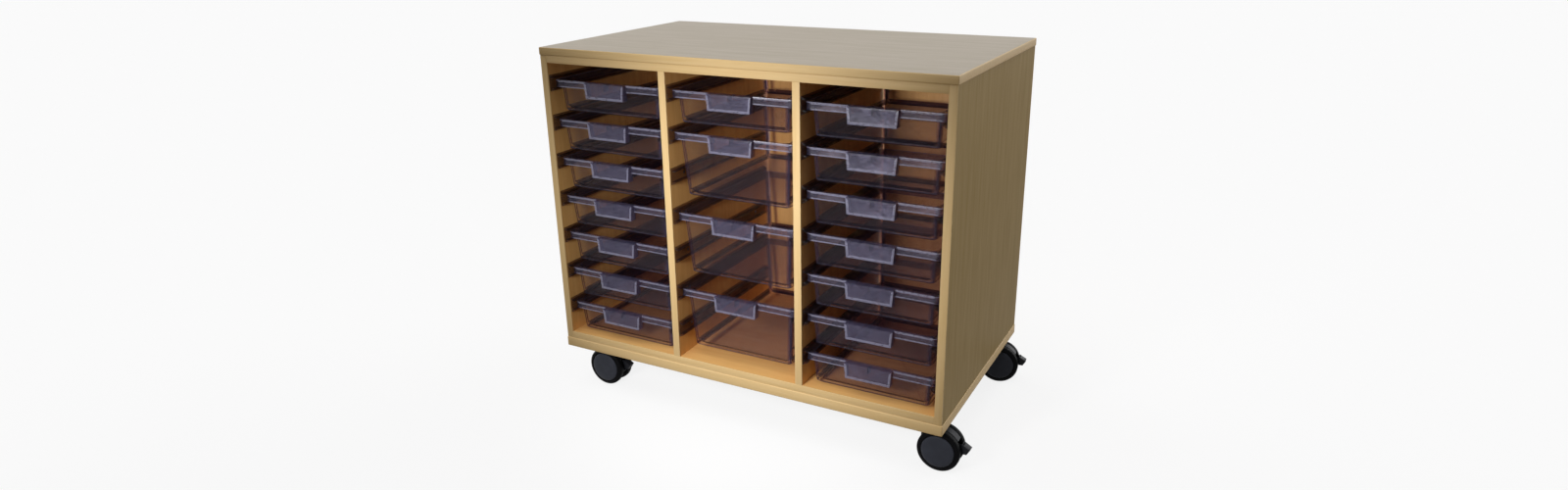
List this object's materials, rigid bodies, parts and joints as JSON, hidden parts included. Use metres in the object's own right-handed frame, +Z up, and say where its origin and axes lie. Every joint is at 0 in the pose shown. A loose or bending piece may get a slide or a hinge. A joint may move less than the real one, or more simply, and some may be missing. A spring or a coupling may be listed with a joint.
{
  "type": "classroom tray storage unit",
  "caption": "Mobile laminated cabinet with open bays of clear slide-out trays in shallow and deep sizes, on swivelling twin-wheel castors with foot brakes.",
  "frame": {"origin": "on the floor under the middle of the unit", "axes": "+X to the right of a person facing the open front, +Y to the back, +Z up"},
  "size_m": [1.1276, 0.594, 0.889],
  "materials": {
    "laminate": "satin wood-grain laminate with matching edging",
    "back_board": "thin satin fibreboard",
    "runner_plastic": "smoky clear moulded plastic",
    "tray_plastic": "smoky clear polished plastic",
    "beech": "plain beech",
    "screw_steel": "zinc-plated",
    "plate_steel": "zinc-plated",
    "axle_steel": "bright turned steel",
    "castor_plastic": "dark grey moulded nylon",
    "castor_tyre": "black soft tread with a dark grey hub"
  },
  "bodies": {
    "carcass": {"top_board": "laminate", "base_board": "laminate", "left_side": "laminate", "right_side": "laminate", "left_divider": "laminate", "right_divider": "laminate", "bay_floor": "laminate", "bay_roof": "laminate", "left_back_panel": "back_board", "middle_back_panel": "back_board", "right_back_panel": "back_board", "left_bay_left_runners": "runner_plastic", "left_bay_right_runners": "runner_plastic", "middle_bay_left_runners": "runner_plastic", "middle_bay_right_runners": "runner_plastic", "right_bay_left_runners": "runner_plastic", "right_bay_right_runners": "runner_plastic", "board_dowels": "beech", "runner_screws": "screw_steel", "castor_plates": "plate_steel", "castor_screws": "screw_steel"},
    "left_bay_tray_1": {"left_bay_tray_1": "tray_plastic"},
    "left_bay_tray_2": {"left_bay_tray_2": "tray_plastic"},
    "left_bay_tray_3": {"left_bay_tray_3": "tray_plastic"},
    "left_bay_tray_4": {"left_bay_tray_4": "tray_plastic"},
    "left_bay_tray_5": {"left_bay_tray_5": "tray_plastic"},
    "left_bay_tray_6": {"left_bay_tray_6": "tray_plastic"},
    "left_bay_tray_7": {"left_bay_tray_7": "tray_plastic"},
    "middle_bay_tray_1": {"middle_bay_tray_1": "tray_plastic"},
    "middle_bay_tray_2": {"middle_bay_tray_2": "tray_plastic"},
    "middle_bay_tray_3": {"middle_bay_tray_3": "tray_plastic"},
    "middle_bay_tray_4": {"middle_bay_tray_4": "tray_plastic"},
    "right_bay_tray_1": {"right_bay_tray_1": "tray_plastic"},
    "right_bay_tray_2": {"right_bay_tray_2": "tray_plastic"},
    "right_bay_tray_3": {"right_bay_tray_3": "tray_plastic"},
    "right_bay_tray_4": {"right_bay_tray_4": "tray_plastic"},
    "right_bay_tray_5": {"right_bay_tray_5": "tray_plastic"},
    "right_bay_tray_6": {"right_bay_tray_6": "tray_plastic"},
    "right_bay_tray_7": {"right_bay_tray_7": "tray_plastic"},
    "front_left_castor": {"front_left_hood": "castor_plastic", "front_left_axle": "axle_steel"},
    "front_left_brake_lever": {"front_left_brake_lever": "castor_plastic"},
    "front_left_wheel_a": {"front_left_wheel_a": "castor_tyre"},
    "front_left_wheel_b": {"front_left_wheel_b": "castor_tyre"},
    "front_right_castor": {"front_right_hood": "castor_plastic", "front_right_axle": "axle_steel"},
    "front_right_brake_lever": {"front_right_brake_lever": "castor_plastic"},
    "front_right_wheel_a": {"front_right_wheel_a": "castor_tyre"},
    "front_right_wheel_b": {"front_right_wheel_b": "castor_tyre"},
    "rear_right_castor": {"rear_right_hood": "castor_plastic", "rear_right_axle": "axle_steel"},
    "rear_right_brake_lever": {"rear_right_brake_lever": "castor_plastic"},
    "rear_right_wheel_a": {"rear_right_wheel_a": "castor_tyre"},
    "rear_right_wheel_b": {"rear_right_wheel_b": "castor_tyre"},
    "rear_left_castor": {"rear_left_hood": "castor_plastic", "rear_left_axle": "axle_steel"},
    "rear_left_brake_lever": {"rear_left_brake_lever": "castor_plastic"},
    "rear_left_wheel_a": {"rear_left_wheel_a": "castor_tyre"},
    "rear_left_wheel_b": {"rear_left_wheel_b": "castor_tyre"}
  },
  "joints": [
    {"name": "front_left_swivel", "type": "hinge", "parent": "carcass", "child": "front_left_castor", "pos_m": [-0.461, -0.234, 0.109], "axis": [0, 0, 1], "continuous": true},
    {"name": "front_right_swivel", "type": "hinge", "parent": "carcass", "child": "front_right_castor", "pos_m": [0.461, -0.234, 0.109], "axis": [0, 0, 1], "continuous": true},
    {"name": "rear_right_swivel", "type": "hinge", "parent": "carcass", "child": "rear_right_castor", "pos_m": [0.461, 0.234, 0.109], "axis": [0, 0, 1], "continuous": true},
    {"name": "rear_left_swivel", "type": "hinge", "parent": "carcass", "child": "rear_left_castor", "pos_m": [-0.461, 0.234, 0.109], "axis": [0, 0, 1], "continuous": true},
    {"name": "front_left_brake", "type": "hinge", "parent": "front_left_castor", "child": "front_left_brake_lever", "pos_m": [-0.389, -0.234, 0.061], "axis": [0, 1, 0], "range_deg": [0, 16]},
    {"name": "front_right_brake", "type": "hinge", "parent": "front_right_castor", "child": "front_right_brake_lever", "pos_m": [0.533, -0.234, 0.061], "axis": [0, 1, 0], "range_deg": [0, 16]},
    {"name": "rear_right_brake", "type": "hinge", "parent": "rear_right_castor", "child": "rear_right_brake_lever", "pos_m": [0.53221, 0.24464, 0.061], "axis": [-0.1478, 0.989, 0], "range_deg": [0, 16]},
    {"name": "rear_left_brake", "type": "hinge", "parent": "rear_left_castor", "child": "rear_left_brake_lever", "pos_m": [-0.53221, 0.24464, 0.061], "axis": [-0.1478, -0.989, 0], "range_deg": [0, 16]},
    {"name": "left_bay_tray_1_slide", "type": "slide", "parent": "carcass", "child": "left_bay_tray_1", "axis": [0, -1, 0], "range_m": [0, 0.45]},
    {"name": "left_bay_tray_2_slide", "type": "slide", "parent": "carcass", "child": "left_bay_tray_2", "axis": [0, -1, 0], "range_m": [0, 0.45]},
    {"name": "left_bay_tray_3_slide", "type": "slide", "parent": "carcass", "child": "left_bay_tray_3", "axis": [0, -1, 0], "range_m": [0, 0.45]},
    {"name": "left_bay_tray_4_slide", "type": "slide", "parent": "carcass", "child": "left_bay_tray_4", "axis": [0, -1, 0], "range_m": [0, 0.45]},
    {"name": "left_bay_tray_5_slide", "type": "slide", "parent": "carcass", "child": "left_bay_tray_5", "axis": [0, -1, 0], "range_m": [0, 0.45]},
    {"name": "left_bay_tray_6_slide", "type": "slide", "parent": "carcass", "child": "left_bay_tray_6", "axis": [0, -1, 0], "range_m": [0, 0.45]},
    {"name": "left_bay_tray_7_slide", "type": "slide", "parent": "carcass", "child": "left_bay_tray_7", "axis": [0, -1, 0], "range_m": [0, 0.45]},
    {"name": "middle_bay_tray_1_slide", "type": "slide", "parent": "carcass", "child": "middle_bay_tray_1", "axis": [0, -1, 0], "range_m": [0, 0.45]},
    {"name": "middle_bay_tray_2_slide", "type": "slide", "parent": "carcass", "child": "middle_bay_tray_2", "axis": [0, -1, 0], "range_m": [0, 0.45]},
    {"name": "middle_bay_tray_3_slide", "type": "slide", "parent": "carcass", "child": "middle_bay_tray_3", "axis": [0, -1, 0], "range_m": [0, 0.45]},
    {"name": "middle_bay_tray_4_slide", "type": "slide", "parent": "carcass", "child": "middle_bay_tray_4", "axis": [0, -1, 0], "range_m": [0, 0.45]},
    {"name": "right_bay_tray_1_slide", "type": "slide", "parent": "carcass", "child": "right_bay_tray_1", "axis": [0, -1, 0], "range_m": [0, 0.45]},
    {"name": "right_bay_tray_2_slide", "type": "slide", "parent": "carcass", "child": "right_bay_tray_2", "axis": [0, -1, 0], "range_m": [0, 0.45]},
    {"name": "right_bay_tray_3_slide", "type": "slide", "parent": "carcass", "child": "right_bay_tray_3", "axis": [0, -1, 0], "range_m": [0, 0.45]},
    {"name": "right_bay_tray_4_slide", "type": "slide", "parent": "carcass", "child": "right_bay_tray_4", "axis": [0, -1, 0], "range_m": [0, 0.45]},
    {"name": "right_bay_tray_5_slide", "type": "slide", "parent": "carcass", "child": "right_bay_tray_5", "axis": [0, -1, 0], "range_m": [0, 0.45]},
    {"name": "right_bay_tray_6_slide", "type": "slide", "parent": "carcass", "child": "right_bay_tray_6", "axis": [0, -1, 0], "range_m": [0, 0.45]},
    {"name": "right_bay_tray_7_slide", "type": "slide", "parent": "carcass", "child": "right_bay_tray_7", "axis": [0, -1, 0], "range_m": [0, 0.45]},
    {"name": "front_left_wheel_a_spin", "type": "hinge", "parent": "front_left_castor", "child": "front_left_wheel_a", "pos_m": [-0.427, -0.234, 0.05], "axis": [0, 1, 0], "continuous": true},
    {"name": "front_left_wheel_b_spin", "type": "hinge", "parent": "front_left_castor", "child": "front_left_wheel_b", "pos_m": [-0.427, -0.234, 0.05], "axis": [0, 1, 0], "continuous": true},
    {"name": "front_right_wheel_a_spin", "type": "hinge", "parent": "front_right_castor", "child": "front_right_wheel_a", "pos_m": [0.495, -0.234, 0.05], "axis": [0, 1, 0], "continuous": true},
    {"name": "front_right_wheel_b_spin", "type": "hinge", "parent": "front_right_castor", "child": "front_right_wheel_b", "pos_m": [0.495, -0.234, 0.05], "axis": [0, 1, 0], "continuous": true},
    {"name": "rear_right_wheel_a_spin", "type": "hinge", "parent": "rear_right_castor", "child": "rear_right_wheel_a", "pos_m": [0.49463, 0.23903, 0.05], "axis": [-0.1478, 0.989, 0], "continuous": true},
    {"name": "rear_right_wheel_b_spin", "type": "hinge", "parent": "rear_right_castor", "child": "rear_right_wheel_b", "pos_m": [0.49463, 0.23903, 0.05], "axis": [-0.1478, 0.989, 0], "continuous": true},
    {"name": "rear_left_wheel_a_spin", "type": "hinge", "parent": "rear_left_castor", "child": "rear_left_wheel_a", "pos_m": [-0.49463, 0.23903, 0.05], "axis": [-0.1478, -0.989, 0], "continuous": true},
    {"name": "rear_left_wheel_b_spin", "type": "hinge", "parent": "rear_left_castor", "child": "rear_left_wheel_b", "pos_m": [-0.49463, 0.23903, 0.05], "axis": [-0.1478, -0.989, 0], "continuous": true}
  ]
}
